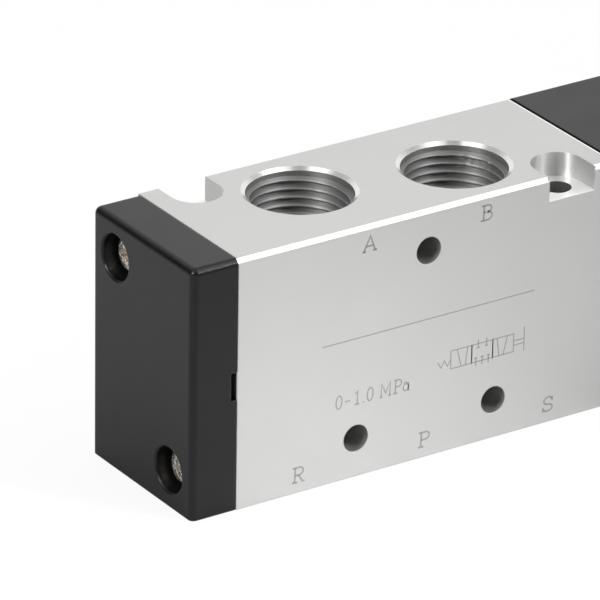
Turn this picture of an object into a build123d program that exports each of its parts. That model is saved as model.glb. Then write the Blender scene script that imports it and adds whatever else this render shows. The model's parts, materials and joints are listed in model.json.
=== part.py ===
# Hand lever air valve: a 5/3 spool valve with closed centre, worked by a spring-centred lever.
# Millimetres. X runs along the valve, the lever is at its +X end, and the front looks along -Y.
# The origin is the centre of the body's underside, and Z is up.

import os
from math import atan, cos, degrees, radians, tan

from build123d import *

os.makedirs("parts", exist_ok=True)

# Body block
body_length = 66.0
body_width = 27.0
body_height = 40.0
body_front_chamfer = 0.6
body_edge_break = 0.15

# Spool bore, and the ring galleries that join it to the ports
bore_height = 20.0
bore_radius = 6.5
gallery_depth = 1.7
gallery_width = 4.4
gallery_pitch = 10.2
window_length = 10.0
window_side_gap = 0.1

# Threaded ports, drawn at the thread's major radius
large_port_radius = 8.33
small_port_radius = 6.58
port_depth = 11.0
port_mouth_chamfer = 0.37
outlet_offset_x = 12.2
outlet_offset_y = 2.1
exhaust_offset_x = 22.2

# Mounting holes through the body
mounting_hole_radius = 2.15
side_hole_spacing = 24.4
side_hole_rise = 6.3
side_hole_drop = 6.5
bolt_spacing_x = 50.8
bolt_spacing_y = 19.5
notch_radius = 4.1
notch_depth = 3.8

# End screws, on opposite diagonals of the two ends
screw_radius = 1.5
screw_gap = 0.05
screw_hole_radius = 1.7
screw_head_radius = 2.75
screw_head_height = 1.8
screw_recess_radius = 3.53
screw_recess_depth = 3.5
screw_recess_chamfer = 0.25
screw_grip_depth = 5.0
screw_end_gap = 0.4
screw_offset_y = 7.33
screw_offset_z = 14.03

# End cap, and the rounded edges that it shares with the lever housing
cap_thickness = 7.7
moulding_fillet = 1.1
moulding_foot_chamfer = 0.25
cap_cavity_radius = 5.0
cap_cavity_depth = 5.5
breather_width = 1.0
breather_height = 4.4

# Spool and its rings
spool_core_radius = 4.0
land_gap = 0.08
land_half_width = 1.3
end_land_half_width = 2.2
land_end_gap = 0.25
seal_lap = 0.5
seal_gap = 0.03
seal_width = 1.8
seal_depth = 1.67
seal_lip_width = 1.0
seal_side_gap = 0.05

# Spool ends
stub_radius = 4.3
stub_length = 2.4
stem_radius = 4.5
stem_reach = 6.7
stem_end_gap = 0.55
stem_flat_height = 2.5

# Centring springs
spring_radius = 2.65
wire_radius = 0.36
spring_turns = 3.0
spring_pocket_gap = 0.25
spring_end_gap = 0.05
spring_seat_depth = 1.0
stub_pocket_depth = 3.8
stem_pocket_depth = 2.8
housing_pocket_depth = 3.0

# Lever housing
housing_end_wall = 5.4
cavity_half_width = 5.0
cavity_floor_gap = 2.0
hub_gap = 0.4
slot_end_gap = 0.45
guide_length = 4.0
guide_wall = 2.4
running_gap = 0.05

# Lever pivot and hub
pivot_offset = 20.0
lever_arm = 9.6
lever_swing = 20.0
pin_radius = 2.0
pin_fit_gap = 0.03
pin_inset = 0.3
hub_top_gap = 0.3
hub_half_width = 4.7
hub_barrel_radius = 4.6
finger_foot_radius = 2.5
finger_half_width = 2.5
finger_neck_radius = 1.5
finger_side_gap = 0.12
finger_end_gap = 0.5
boss_radius = 4.2
boss_height = 6.0

# Lever rod, lock nut and grip
rod_radius = 3.0
rod_length = 54.0
rod_grip_depth = 10.0
thread_gap = 0.05
nut_across_flats = 10.0
nut_height = 5.0
nut_chamfer = 0.5
rod_in_grip = 18.0
grip_length = 46.0
grip_low_radius = 5.6
grip_high_radius = 9.5
grip_low_edge = 0.8
grip_shoulder = (3.4, 0.9)
grip_crown = (2.6, 3.3)
insert_radius = 4.2
insert_length = 12.0

# Places worked out from the sizes above
half_length = body_length / 2
half_width = body_width / 2
cap_face = -half_length - cap_thickness
gallery_radius = bore_radius + gallery_depth
window_width = gallery_width - 2 * window_side_gap
tap_radius = screw_radius + screw_gap
pivot_x = half_length + pivot_offset
pivot_height = bore_height + lever_arm
swing = radians(lever_swing)
spool_stroke = lever_arm * swing
slot_rise = body_height - pivot_height
slot_half_length = slot_rise * tan(swing) + boss_radius / cos(swing) + slot_end_gap
hub_radius = slot_rise - hub_top_gap
hub_sector_half_angle = degrees(atan(slot_half_length / slot_rise)) + lever_swing
hub_cavity_radius = hub_radius + hub_gap
cavity_reach = stem_reach + spool_stroke + stem_end_gap
cavity_high_x = pivot_x + cavity_reach
cavity_floor = bore_height - stem_radius - cavity_floor_gap
housing_end = cavity_high_x + housing_end_wall
housing_length = housing_end - half_length
inner_land_x = gallery_pitch - gallery_width / 2 - seal_lap - seal_width / 2
outer_land_x = gallery_pitch + gallery_width / 2 + seal_lap + seal_width / 2
end_land_x = half_length - spool_stroke - land_end_gap - end_land_half_width
stem_end = pivot_x + stem_reach
stem_top_drop = lever_arm - stem_radius
neck_reach = finger_neck_radius / cos(swing) - stem_top_drop * tan(swing)
stem_flat_length = 2 * (spool_stroke + neck_reach + finger_side_gap)
stub_end = -(end_land_x + end_land_half_width + stub_length)
spring_pocket_radius = spring_radius + wire_radius + spring_pocket_gap
boss_top = body_height + boss_height
rod_low = boss_top - rod_grip_depth
rod_high = rod_low + rod_length
nut_top = boss_top + nut_height
grip_low = rod_high - rod_in_grip
grip_high = grip_low + grip_length

bore_axis = Axis((0, 0, bore_height), (1, 0, 0))
lever_axis = Axis((pivot_x, 0, 0), (0, 0, 1))
towards_front_top = Axis((0, 0, 0), (0, -1, 1))


def end_plane(x):
    # A plane across the valve at x, with its origin on the bore axis, its own X along +Y and its Y up.
    return Plane(origin=(x, 0, bore_height), x_dir=(0, 1, 0), z_dir=(1, 0, 0))


def cross_plane(x, z):
    # A plane at mid width that looks along -Y, with its own X along +X and its Y up.
    return Plane(origin=(x, 0, z), x_dir=(1, 0, 0), z_dir=(0, -1, 0))


def floor_plane(x, y, z):
    # A level plane with its origin at the given place.
    return Plane.XY.offset(z).shift_origin((x, y, z))


def round_moulding(block, side, top_count):
    # Rounds a moulded end block on its outer end, which lies on the given side along X, and along one or
    # both of its top edges, the front one first. The foot has a small chamfer instead.
    outward = Axis((0, 0, 0), (side, 0, 0))
    end_edges = block.faces().sort_by(outward)[-1].edges()
    long_edges = block.edges().filter_by(Axis.X).sort_by(towards_front_top)
    fillet(end_edges.sort_by(Axis.Z)[1:] + long_edges[-top_count:], moulding_fillet)
    foot_edges = block.faces().sort_by(Axis.Z)[0].edges()
    chamfer(foot_edges.sort_by(outward)[1:], moulding_foot_chamfer)


# End screws: the left pair is high at the back and low at the front, the right pair the other way.
left_screws = [(screw_offset_y, screw_offset_z), (-screw_offset_y, -screw_offset_z)]
right_screws = [(-screw_offset_y, screw_offset_z), (screw_offset_y, -screw_offset_z)]

# Ports as (x, y, wall radius): two outlets on top, the supply and two exhausts below.
top_ports = [
    (-outlet_offset_x, outlet_offset_y, large_port_radius),
    (outlet_offset_x, -outlet_offset_y, large_port_radius),
]
bottom_ports = [
    (-exhaust_offset_x, 0, small_port_radius),
    (0, 0, large_port_radius),
    (exhaust_offset_x, 0, small_port_radius),
]
top_galleries = [-gallery_pitch, gallery_pitch]
bottom_galleries = [-2 * gallery_pitch, 0, 2 * gallery_pitch]
land_centres = [-end_land_x, -outer_land_x, -inner_land_x, inner_land_x, outer_land_x, end_land_x]


# Valve body: the block, its spool bore with five galleries, five ports and the mounting holes.
with BuildPart() as valve_body:
    with BuildSketch(end_plane(-half_length)):
        with Locations((0, body_height / 2 - bore_height)):
            Rectangle(body_width, body_height)
    extrude(amount=body_length)
    chamfer(valve_body.edges().filter_by(Axis.X).sort_by(towards_front_top)[:-1], body_edge_break)
    chamfer(valve_body.edges().filter_by(Axis.X).sort_by(towards_front_top)[-1], body_front_chamfer)
    end_faces = valve_body.faces().filter_by(Axis.X)
    chamfer(end_faces.edges(), body_edge_break)

    with BuildSketch(end_plane(-half_length)):
        Circle(bore_radius)
    extrude(amount=body_length, mode=Mode.SUBTRACT)
    for x in top_galleries + bottom_galleries:
        with BuildSketch(end_plane(x - gallery_width / 2)):
            Circle(gallery_radius)
        extrude(amount=gallery_width, mode=Mode.SUBTRACT)

    for x, y, radius in top_ports:
        with BuildSketch(floor_plane(x, y, body_height)):
            Circle(radius)
        extrude(amount=-port_depth, mode=Mode.SUBTRACT)
        mouth = valve_body.edges().filter_by(GeomType.CIRCLE).group_by(Axis.Z)[-1]
        chamfer(mouth.sort_by_distance((x, y, body_height))[0], port_mouth_chamfer)
    for x, y, radius in bottom_ports:
        with BuildSketch(floor_plane(x, y, 0)):
            Circle(radius)
        extrude(amount=port_depth, mode=Mode.SUBTRACT)
        mouth = valve_body.edges().filter_by(GeomType.CIRCLE).group_by(Axis.Z)[0]
        chamfer(mouth.sort_by_distance((x, y, 0))[0], port_mouth_chamfer)

    with BuildSketch(Plane.XY.offset(bore_height)):
        with Locations(*[(x, 0) for x in top_galleries]):
            SlotOverall(window_length, window_width, rotation=90)
    extrude(amount=body_height - port_depth - bore_height, mode=Mode.SUBTRACT)
    with BuildSketch(Plane.XY.offset(bore_height)):
        with Locations(*[(x, 0) for x in bottom_galleries]):
            SlotOverall(window_length, window_width, rotation=90)
    extrude(amount=port_depth - bore_height, mode=Mode.SUBTRACT)

    with BuildSketch(Plane.XZ):
        with Locations((0, body_height - side_hole_drop)):
            Circle(mounting_hole_radius)
        with Locations((0, side_hole_rise)):
            with GridLocations(side_hole_spacing, 1, 2, 1):
                Circle(mounting_hole_radius)
    extrude(amount=half_width, both=True, mode=Mode.SUBTRACT)

    # The bolt notches are open to the back at the cap's end and to the front at the lever's end.
    notch_reach = half_width - bolt_spacing_y / 2
    for side in (-1, 1):
        bolt_x = side * bolt_spacing_x / 2
        bolt_y = -side * bolt_spacing_y / 2
        with BuildSketch(Plane.XY):
            with Locations((bolt_x, bolt_y)):
                Circle(mounting_hole_radius)
        extrude(amount=body_height, mode=Mode.SUBTRACT)
        with BuildSketch(Plane.XY.offset(body_height)):
            with Locations((bolt_x, bolt_y)):
                Circle(notch_radius)
            with Locations((bolt_x, bolt_y - side * notch_reach / 2)):
                Rectangle(2 * notch_radius, notch_reach)
        extrude(amount=-notch_depth, mode=Mode.SUBTRACT)

    with BuildSketch(end_plane(-half_length)):
        with Locations(*left_screws):
            Circle(tap_radius)
    extrude(amount=screw_grip_depth, mode=Mode.SUBTRACT)
    with BuildSketch(end_plane(half_length)):
        with Locations(*right_screws):
            Circle(tap_radius)
    extrude(amount=-screw_grip_depth, mode=Mode.SUBTRACT)
valve_body.part.label = "valve_body"
export_step(valve_body.part, "parts/valve_body.step")


# End cap: a moulded cap with a vented cavity for the spool's end and a seat for the left spring.
with BuildPart() as end_cap:
    with BuildSketch(end_plane(-half_length)):
        with Locations((0, body_height / 2 - bore_height)):
            Rectangle(body_width, body_height)
    extrude(amount=-cap_thickness)
    round_moulding(end_cap, -1, 2)
    with BuildSketch(end_plane(-half_length)):
        Circle(cap_cavity_radius)
    extrude(amount=-cap_cavity_depth, mode=Mode.SUBTRACT)
    with BuildSketch(end_plane(-half_length)):
        Circle(spring_pocket_radius)
    extrude(amount=-(cap_cavity_depth + spring_seat_depth), mode=Mode.SUBTRACT)
    with BuildSketch(end_plane(-half_length)):
        with Locations((-half_width / 2, 0)):
            Rectangle(half_width, breather_height)
    extrude(amount=-breather_width, mode=Mode.SUBTRACT)
    with BuildSketch(end_plane(cap_face)):
        with Locations(*left_screws):
            Circle(screw_recess_radius)
    extrude(amount=screw_recess_depth, mode=Mode.SUBTRACT)
    rims = end_cap.edges().filter_by(GeomType.CIRCLE).group_by(Axis.X)[0]
    chamfer(rims, screw_recess_chamfer)
    with BuildSketch(end_plane(cap_face)):
        with Locations(*left_screws):
            Circle(screw_hole_radius)
    extrude(amount=cap_thickness, mode=Mode.SUBTRACT)
end_cap.part.label = "end_cap"
export_step(end_cap.part, "parts/end_cap.step")


# End cap screws: pan heads on the floors of the recesses, shanks in the body's tapped holes.
cap_screw_seat = cap_face + screw_recess_depth
with BuildPart() as end_cap_screws:
    with BuildSketch(end_plane(cap_screw_seat)):
        with Locations(*left_screws):
            Circle(screw_head_radius)
    extrude(amount=-screw_head_height)
    with BuildSketch(end_plane(cap_screw_seat)):
        with Locations(*left_screws):
            Circle(screw_radius)
    extrude(amount=-half_length + screw_grip_depth - screw_end_gap - cap_screw_seat)
end_cap_screws.part.label = "end_cap_screws"
export_step(end_cap_screws.part, "parts/end_cap_screws.step")


# Spool: six grooved lands on a core, a hollow stub at the cap end and a long stem at the lever end.
land_radius = bore_radius - land_gap
seal_outer_radius = bore_radius - seal_gap
seal_inner_radius = seal_outer_radius - seal_depth
groove_radius = seal_inner_radius - seal_side_gap
groove_width = seal_width + 2 * seal_side_gap
with BuildPart() as spool:
    with BuildSketch(end_plane(-end_land_x)):
        Circle(spool_core_radius)
    extrude(amount=2 * end_land_x)
    for centre in land_centres:
        half_land = end_land_half_width if abs(centre) == end_land_x else land_half_width
        with BuildSketch(end_plane(centre - half_land)):
            Circle(land_radius)
        extrude(amount=2 * half_land)
    with BuildSketch(end_plane(-end_land_x)):
        Circle(stub_radius)
    extrude(amount=stub_end + end_land_x)
    with BuildSketch(end_plane(end_land_x)):
        Circle(stem_radius)
    extrude(amount=stem_end - end_land_x)

    for centre in land_centres:
        with BuildSketch(end_plane(centre - groove_width / 2)):
            Circle(land_radius)
            Circle(groove_radius, mode=Mode.SUBTRACT)
        extrude(amount=groove_width, mode=Mode.SUBTRACT)
    with BuildSketch(end_plane(stub_end)):
        Circle(spring_pocket_radius)
    extrude(amount=stub_pocket_depth, mode=Mode.SUBTRACT)
    with BuildSketch(end_plane(stem_end)):
        Circle(spring_pocket_radius)
    extrude(amount=-stem_pocket_depth, mode=Mode.SUBTRACT)

    flat_height = bore_height + stem_flat_height
    with BuildSketch(floor_plane(pivot_x, 0, flat_height)):
        Rectangle(stem_flat_length, 2 * stem_radius)
    extrude(amount=stem_radius, mode=Mode.SUBTRACT)
    pocket_floor = bore_height - finger_foot_radius - finger_end_gap
    pocket_length = 2 * (finger_foot_radius + finger_side_gap)
    pocket_width = 2 * (finger_half_width + finger_side_gap)
    with BuildSketch(floor_plane(pivot_x, 0, pocket_floor)):
        Rectangle(pocket_length, pocket_width)
    extrude(amount=2 * stem_radius, mode=Mode.SUBTRACT)
spool.part.label = "spool"
export_step(spool.part, "parts/spool.step")


# Spool seals: rubber rings that narrow to a lip, one in each groove.
for number, centre in enumerate(land_centres, 1):
    with BuildPart() as spool_seal:
        with BuildSketch(cross_plane(centre, bore_height)):
            with BuildLine():
                Polyline(
                    (-seal_width / 2, seal_inner_radius),
                    (-seal_lip_width / 2, seal_outer_radius),
                    (seal_lip_width / 2, seal_outer_radius),
                    (seal_width / 2, seal_inner_radius),
                    close=True,
                )
            make_face()
        revolve(axis=bore_axis)
    spool_seal.part.label = f"spool_seal_{number}"
    export_step(spool_seal.part, f"parts/spool_seal_{number}.step")


# Lever housing: a moulded block with a slotted cavity for the hub and bores for stem, spring and pin.
guide_outer_radius = stem_radius + guide_wall
with BuildPart() as lever_housing:
    with BuildSketch(end_plane(half_length)):
        with Locations((0, body_height / 2 - bore_height)):
            Rectangle(body_width, body_height)
    extrude(amount=housing_length)
    round_moulding(lever_housing, 1, 1)

    with BuildSketch(cross_plane(pivot_x, pivot_height)):
        Circle(hub_cavity_radius)
        with Locations((0, (cavity_floor - pivot_height) / 2)):
            Rectangle(2 * cavity_reach, pivot_height - cavity_floor)
        with Locations((0, (body_height - pivot_height) / 2)):
            Rectangle(2 * slot_half_length, body_height - pivot_height)
    extrude(amount=cavity_half_width, both=True, mode=Mode.SUBTRACT)

    with BuildSketch(end_plane(half_length)):
        Circle(stem_radius + hub_gap)
    extrude(amount=pivot_offset, mode=Mode.SUBTRACT)
    with BuildSketch(end_plane(half_length)):
        Circle(guide_outer_radius + running_gap)
    extrude(amount=guide_length, mode=Mode.SUBTRACT)
    with BuildSketch(end_plane(cavity_high_x)):
        Circle(spring_pocket_radius)
    extrude(amount=housing_pocket_depth, mode=Mode.SUBTRACT)

    with BuildSketch(cross_plane(pivot_x, pivot_height)):
        Circle(pin_radius + pin_fit_gap)
    extrude(amount=half_width, both=True, mode=Mode.SUBTRACT)
    with BuildSketch(end_plane(housing_end)):
        with Locations(*right_screws):
            Circle(screw_recess_radius)
    extrude(amount=-screw_recess_depth, mode=Mode.SUBTRACT)
    rims = lever_housing.edges().filter_by(GeomType.CIRCLE).group_by(Axis.X)[-1]
    chamfer(rims, screw_recess_chamfer)
    with BuildSketch(end_plane(half_length)):
        with Locations(*right_screws):
            Circle(screw_hole_radius)
    extrude(amount=housing_length, mode=Mode.SUBTRACT)
lever_housing.part.label = "lever_housing"
export_step(lever_housing.part, "parts/lever_housing.step")


# Stem guide: the plastic bush in the housing's left face.
with BuildPart() as stem_guide:
    with BuildSketch(end_plane(half_length)):
        Circle(guide_outer_radius)
        Circle(stem_radius + running_gap, mode=Mode.SUBTRACT)
    extrude(amount=guide_length)
stem_guide.part.label = "stem_guide"
export_step(stem_guide.part, "parts/stem_guide.step")


# Housing screws: as the cap's, but as long as the housing.
housing_screw_seat = housing_end - screw_recess_depth
with BuildPart() as housing_screws:
    with BuildSketch(end_plane(housing_screw_seat)):
        with Locations(*right_screws):
            Circle(screw_head_radius)
    extrude(amount=screw_head_height)
    with BuildSketch(end_plane(housing_screw_seat)):
        with Locations(*right_screws):
            Circle(screw_radius)
    extrude(amount=half_length - screw_grip_depth + screw_end_gap - housing_screw_seat)
housing_screws.part.label = "housing_screws"
export_step(housing_screws.part, "parts/housing_screws.step")


# Centring springs: one pushes on each end of the spool, from low x to high x.
spring_spans = {
    "left_spring": (-half_length - cap_cavity_depth - spring_seat_depth, stub_end + stub_pocket_depth),
    "right_spring": (stem_end - stem_pocket_depth, cavity_high_x + housing_pocket_depth),
}
for name, (low_x, high_x) in spring_spans.items():
    coil_low = low_x + spring_end_gap + wire_radius
    coil_length = high_x - low_x - 2 * (spring_end_gap + wire_radius)
    with BuildPart() as spring:
        with BuildLine():
            coil = Helix(
                pitch=coil_length / spring_turns,
                height=coil_length,
                radius=spring_radius,
                center=(coil_low, 0, bore_height),
                direction=(1, 0, 0),
            )
        with BuildSketch(Plane(origin=coil @ 0, z_dir=coil % 0)):
            RegularPolygon(wire_radius, 6)
        sweep(is_frenet=True)
    spring.part.label = name
    export_step(spring.part, f"parts/{name}.step")


# Pivot pin: through both walls of the housing and the hub.
with BuildPart() as pivot_pin:
    with BuildSketch(cross_plane(pivot_x, pivot_height)):
        Circle(pin_radius)
    extrude(amount=half_width - pin_inset, both=True)
pivot_pin.part.label = "pivot_pin"
export_step(pivot_pin.part, "parts/pivot_pin.step")


# Lever hub: a drum sector that fills the slot, a barrel on the pin, a finger with a round foot in the
# stem's pocket, and the rod's boss.
with BuildPart() as lever_hub:
    with BuildSketch(cross_plane(pivot_x, pivot_height)):
        with BuildLine():
            rim = CenterArc((0, 0), hub_radius, 90 - hub_sector_half_angle, 2 * hub_sector_half_angle)
            Line((0, 0), rim @ 0)
            Line(rim @ 1, (0, 0))
        make_face()
        Circle(hub_barrel_radius)
    extrude(amount=hub_half_width, both=True)
    with BuildSketch(floor_plane(pivot_x, 0, pivot_height)):
        Circle(boss_radius)
    extrude(amount=boss_top - pivot_height)
    with BuildSketch(floor_plane(pivot_x, 0, bore_height)):
        Circle(finger_neck_radius)
    extrude(amount=lever_arm)
    with BuildSketch(cross_plane(pivot_x, bore_height)):
        Circle(finger_foot_radius)
    extrude(amount=finger_half_width, both=True)
    with BuildSketch(floor_plane(pivot_x, 0, boss_top)):
        Circle(rod_radius + thread_gap)
    extrude(amount=-rod_grip_depth, mode=Mode.SUBTRACT)
    with BuildSketch(cross_plane(pivot_x, pivot_height)):
        Circle(pin_radius + running_gap)
    extrude(amount=hub_half_width, both=True, mode=Mode.SUBTRACT)
lever_hub.part.label = "lever_hub"
export_step(lever_hub.part, "parts/lever_hub.step")


# Lever rod: screwed into the hub's boss below and the grip's insert above.
with BuildPart() as lever_rod:
    with BuildSketch(floor_plane(pivot_x, 0, rod_low)):
        Circle(rod_radius)
    extrude(amount=rod_length)
lever_rod.part.label = "lever_rod"
export_step(lever_rod.part, "parts/lever_rod.step")


# Lock nut: a hexagon nut tightened down on the boss, with its corners turned off on top.
with BuildPart() as lock_nut:
    with BuildSketch(floor_plane(pivot_x, 0, boss_top)):
        RegularPolygon(nut_across_flats / 2, 6, major_radius=False)
    extrude(amount=nut_height)
    with BuildSketch(cross_plane(pivot_x, nut_top)):
        with BuildLine():
            Polyline(
                (nut_across_flats / 2, 0),
                (nut_across_flats / 2 + 2 * nut_chamfer, -nut_chamfer),
                (nut_across_flats / 2 + 2 * nut_chamfer, 0),
                close=True,
            )
        make_face()
    revolve(axis=lever_axis, mode=Mode.SUBTRACT)
    with BuildSketch(floor_plane(pivot_x, 0, boss_top)):
        Circle(rod_radius + thread_gap)
    extrude(amount=nut_height, mode=Mode.SUBTRACT)
lock_nut.part.label = "lock_nut"
export_step(lock_nut.part, "parts/lock_nut.step")


# Grip: a tapered handle, slim below and full above, with a bevelled crown.
shoulder_radius = grip_high_radius - grip_shoulder[1]
crown_base = grip_high - grip_crown[0]
with BuildPart() as grip:
    with BuildSketch(cross_plane(pivot_x, 0)):
        with BuildLine():
            Polyline(
                (0, grip_low),
                (grip_low_radius - grip_low_edge, grip_low),
                (grip_low_radius, grip_low + grip_low_edge),
                (grip_high_radius, crown_base - grip_shoulder[0]),
                (shoulder_radius, crown_base),
                (shoulder_radius - grip_crown[1], grip_high),
                (0, grip_high),
                close=True,
            )
        make_face()
    revolve(axis=lever_axis)
    with BuildSketch(floor_plane(pivot_x, 0, grip_low)):
        Circle(insert_radius + thread_gap)
    extrude(amount=insert_length, mode=Mode.SUBTRACT)
    with BuildSketch(floor_plane(pivot_x, 0, grip_low)):
        Circle(rod_radius + thread_gap)
    extrude(amount=rod_high - grip_low, mode=Mode.SUBTRACT)
grip.part.label = "grip"
export_step(grip.part, "parts/grip.step")


# Grip insert: the brass bush in the grip's foot that the rod screws into.
with BuildPart() as grip_insert:
    with BuildSketch(floor_plane(pivot_x, 0, grip_low)):
        Circle(insert_radius)
        Circle(rod_radius + thread_gap, mode=Mode.SUBTRACT)
    extrude(amount=insert_length)
grip_insert.part.label = "grip_insert"
export_step(grip_insert.part, "parts/grip_insert.step")
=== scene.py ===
# Hand lever air valve: finishes, port threads, engraved marks, screws, springs, lever and studio.
# Metres, in the packed model's frame: X runs along the valve, the marked front looks along -Y, Z is up.

import json
from math import cos, pi, radians, sin

import bmesh
import bpy
from bpy.props import FloatProperty, FloatVectorProperty, IntProperty, PointerProperty
from bpy.types import Operator, Panel, PropertyGroup
from mathutils import Matrix, Vector, noise


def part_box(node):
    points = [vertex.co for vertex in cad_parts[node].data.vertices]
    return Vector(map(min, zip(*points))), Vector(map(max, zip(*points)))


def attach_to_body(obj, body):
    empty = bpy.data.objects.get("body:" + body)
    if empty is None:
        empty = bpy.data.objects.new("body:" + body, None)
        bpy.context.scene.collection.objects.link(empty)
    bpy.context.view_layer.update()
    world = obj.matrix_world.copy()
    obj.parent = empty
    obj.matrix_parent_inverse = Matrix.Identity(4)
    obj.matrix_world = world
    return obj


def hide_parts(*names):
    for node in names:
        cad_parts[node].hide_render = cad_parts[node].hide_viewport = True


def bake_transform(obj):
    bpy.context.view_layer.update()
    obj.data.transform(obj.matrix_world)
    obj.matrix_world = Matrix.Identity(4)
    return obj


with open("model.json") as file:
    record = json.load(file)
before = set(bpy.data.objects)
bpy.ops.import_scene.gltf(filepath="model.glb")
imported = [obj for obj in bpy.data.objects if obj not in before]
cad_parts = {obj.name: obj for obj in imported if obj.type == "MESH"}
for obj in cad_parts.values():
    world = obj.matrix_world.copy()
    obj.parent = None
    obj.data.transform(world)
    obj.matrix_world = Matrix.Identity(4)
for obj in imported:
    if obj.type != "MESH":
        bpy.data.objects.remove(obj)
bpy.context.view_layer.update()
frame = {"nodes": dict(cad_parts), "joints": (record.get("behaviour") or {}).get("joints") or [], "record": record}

bl_info = {
    "name": "Hand Lever Air Valve",
    "version": (1, 0, 0),
    "blender": (4, 5, 0),
    "location": "3D View > Sidebar > Valve",
    "description": "Finishes and small pieces for a hand lever air valve, and its studio",
    "category": "Object",
}

mm = 0.001
full_turn = 2 * pi
crease_angle = radians(35)

# Places read from the packed model
body_low, body_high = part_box("valve_body")
mounts = {mount["name"]: mount for mount in frame["record"]["mounts"]}
lever_joint = next(joint for joint in frame["joints"] if joint["name"] == "lever_swing")
pivot = Vector(lever_joint["pos_m"])
port_names = ("port_a", "port_b", "port_p", "port_r", "port_s")
body_middle = (body_low + body_high) / 2

# Radius of the round wall of a bolt notch
notch_radius = 4.1 * mm


def notch_bolts():
    """For each bolt notch, its bolt's place on the notch's floor, a little below the stated opening."""
    floor_gap = 0.2 * mm
    bolts = []
    for opening in frame["record"]["physics"]["openings"]:
        low, high = (Vector(corner) for corner in opening["box_m"])
        head_radius = (high.x - low.x) / 2
        bolt_y = low.y + head_radius if high.y > 0 else high.y - head_radius
        bolts.append(Vector(((low.x + high.x) / 2, bolt_y, low.z - floor_gap)))
    return bolts


# Settings that a user may change

def length_setting(name, description, default):
    """A length, shown with digits for hundredths of a millimetre."""
    return FloatProperty(name=name, description=description, default=default, unit="LENGTH", precision=6)


def colour_setting(name, description, default):
    """A colour."""
    return FloatVectorProperty(
        name=name, description=description, default=default, subtype="COLOR", min=0, max=1,
    )


def share_setting(name, description, default):
    """A number from nought to one."""
    return FloatProperty(name=name, description=description, default=default, min=0, max=1)


class ValveFinishes(PropertyGroup):
    """Colours and sheens of the valve's materials."""

    aluminium: colour_setting("Aluminium", "Colour of the body's satin faces", (0.656, 0.656, 0.648))
    satin: share_setting("Satin", "Roughness of the body's outer faces", 0.42)
    cut_aluminium: colour_setting(
        "Cut aluminium", "Colour of the freshly cut places of the body", (0.75, 0.75, 0.74),
    )
    moulding: colour_setting(
        "Moulding", "Colour of the cap and the lever housing", (0.006, 0.006, 0.0063),
    )
    moulding_sheen: share_setting("Moulding roughness", "Roughness of the cap and the housing", 0.31)
    nickel: colour_setting("Nickel", "Colour of the plated screws", (0.84, 0.79, 0.72))
    steel: colour_setting("Steel", "Colour of the hub, the pin and the springs", (0.56, 0.56, 0.57))
    brass: colour_setting("Brass", "Colour of the grip's insert", (0.80, 0.60, 0.28))
    mark: colour_setting("Mark", "Colour of the engraved marks", (0.35, 0.347, 0.343))


class PortThreads(PropertyGroup):
    """Sizes of the taper pipe threads in the five ports."""

    pitch: length_setting("Pitch", "From crest to crest, 19 to the inch", 25.4 * mm / 19)
    depth: length_setting("Depth", "From root to crest", 0.78 * mm)
    skin: length_setting("Skin", "Metal left between a root and the port's plain wall", 0.07 * mm)
    taper: FloatProperty(
        name="Taper", description="Radius lost for each unit of depth", default=1 / 32,
    )
    mouth: length_setting("Mouth", "How much wider than its wall a port opens", 0.37 * mm)
    bevel_width: length_setting("Bevel width", "Width of the mouth's bevel, seen from above", 0.66 * mm)
    bevel_depth: length_setting("Bevel depth", "How far the mouth's bevel goes down", 0.46 * mm)
    land_depth: length_setting(
        "Land depth", "How far down the plain land below the bevel ends", 1.25 * mm,
    )
    roughness: share_setting("Roughness", "Roughness of the tapped metal", 0.56)
    steps: IntProperty(name="Steps", description="Facets round a port", default=144, min=24)
    rows: IntProperty(name="Rows", description="Rows of facets in one pitch", default=12, min=4)


class FrontMarks(PropertyGroup):
    """Sizes of the marks on the front face."""

    proud: length_setting("Proud", "How far a mark stands off the face", 0.01 * mm)
    sunk: length_setting("Sunk", "How far a mark reaches into the body", 0.1 * mm)
    letter_height: length_setting("Letter height", "Height of the port letters", 2.35 * mm)
    letter_line: length_setting("Letter line", "Width of the port letters' strokes", 0.30 * mm)
    letter_width: FloatProperty(
        name="Letter width", description="Width of the port letters against their usual width",
        default=1.25,
    )
    thin_line: length_setting("Thin line", "Width of the rule and of the symbol's lines", 0.18 * mm)
    rating_height: length_setting("Rating height", "Height of the pressure range's figures", 2.1 * mm)


class LeverSizes(PropertyGroup):
    """Sizes of the threads on the lever's rod."""

    rod_pitch: length_setting("Rod pitch", "Pitch of the rod's threads", 1 * mm)
    rod_depth: length_setting("Thread depth", "Depth of the rod's threads", 0.5 * mm)
    thread_show: length_setting(
        "Thread shown", "Length of thread that shows beyond the nut and the grip", 5 * mm,
    )


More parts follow.
